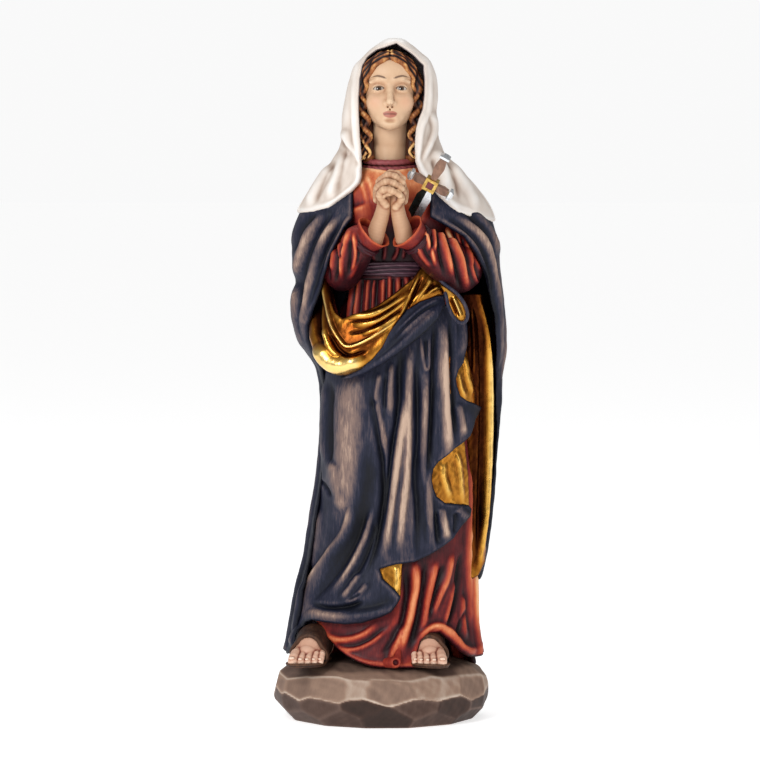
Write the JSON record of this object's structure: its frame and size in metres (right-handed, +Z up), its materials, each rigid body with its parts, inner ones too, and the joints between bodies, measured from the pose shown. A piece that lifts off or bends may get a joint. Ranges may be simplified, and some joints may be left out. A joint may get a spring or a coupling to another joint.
{
  "type": "madonna statue",
  "caption": "Standing carved and painted wooden madonna with folded hands, veil, mantle with gold lining and a lift-out sword, on a faceted rock base.",
  "frame": {"origin": "centre of the underside of the rock base", "axes": "+Z up along the figure, the figure faces -Y, its right hand side is at -X"},
  "size_m": [0.1326, 0.1086, 0.4],
  "materials": {
    "rock_paint": "matt painted wood with pale worn edges",
    "screw_steel": "zinc plated",
    "bare_wood": "bare",
    "red_paint": "satin glaze over carved wood, darker in the folds",
    "maroon_paint": "satin paint over carved wood",
    "belt_paint": "satin paint over carved wood",
    "skin_paint": "soft satin paint over carved wood",
    "hair_paint": "brown glaze with gold strokes on the ridges",
    "veil_paint": "off-white matt paint over carved wood",
    "blue_paint": "dark blue glaze, rubbed tan on the ridges",
    "gold_leaf": "gold leaf over carved wood",
    "sandal_paint": "brown satin paint over carved wood",
    "silver_leaf": "silver leaf over wood",
    "hilt_paint": "brown paint over wood",
    "block_gold": "gold leaf over wood",
    "stone_paint": "dark glossy paint"
  },
  "bodies": {
    "figure": {"base_rock": "rock_paint", "base_screws": "screw_steel", "base_dowel": "bare_wood", "wrist_dowels": "bare_wood", "head_dowel": "bare_wood", "gown_skirt": "red_paint", "gown_bodice": "red_paint", "sleeve_right": "red_paint", "sleeve_left": "red_paint", "collar": "maroon_paint", "cuff_right": "maroon_paint", "cuff_left": "maroon_paint", "belt": "belt_paint", "hand_right": "skin_paint", "hand_left": "skin_paint", "head": "skin_paint", "foot_right": "skin_paint", "foot_left": "skin_paint", "hair": "hair_paint", "veil": "veil_paint", "mantle": "blue_paint", "overskirt": "blue_paint", "swag_roll": "blue_paint", "cloth_loop": "blue_paint", "mantle_lining": "gold_leaf", "mantle_swag": "gold_leaf", "lining_folds": "gold_leaf", "sandal_right": "sandal_paint", "sandal_left": "sandal_paint"},
    "sword": {"sword_blade": "silver_leaf", "sword_block": "block_gold", "sword_grip": "hilt_paint", "sword_arms": "hilt_paint", "sword_caps": "silver_leaf", "sword_stone": "stone_paint"}
  },
  "joints": [
    {"name": "sword_pull", "type": "slide", "parent": "figure", "child": "sword", "axis": [0.4255, -0.4226, 0.8002], "range_m": [0, 0.03]}
  ]
}
